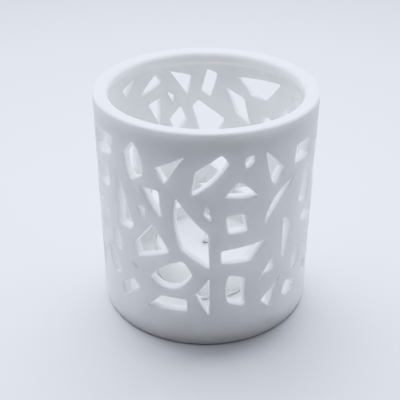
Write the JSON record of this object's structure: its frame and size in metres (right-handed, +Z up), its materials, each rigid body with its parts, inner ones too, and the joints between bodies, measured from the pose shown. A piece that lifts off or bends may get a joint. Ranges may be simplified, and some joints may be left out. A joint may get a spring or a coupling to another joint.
{
  "type": "tealight holder",
  "caption": "Straight-sided openwork porcelain cup with a rounded thickened rim, pierced all round with angular cut-outs, holding a clear-cup tealight that lifts out.",
  "frame": {"origin": "centre of the foot, at the level the cup stands on", "axes": "+Z up along the cup's axis; -Y is the front, the side with the tall leaf-shaped cut-out"},
  "size_m": [0.0754, 0.0754, 0.08],
  "materials": {
    "porcelain": "matt unglazed bisque",
    "clear_cup": "clear moulded plastic",
    "wax": "cast paraffin wax",
    "tinned_steel": "tinned sheet",
    "cotton": "braided wick, unburnt"
  },
  "bodies": {
    "holder": {"holder": "porcelain"},
    "tealight": {"tealight_cup": "clear_cup", "tealight_wax": "wax", "wick_sustainer": "tinned_steel", "wick": "cotton"}
  },
  "joints": [
    {"name": "tealight_lift", "type": "slide", "parent": "holder", "child": "tealight", "axis": [0, 0, 1], "range_m": [0, 0.09]}
  ]
}
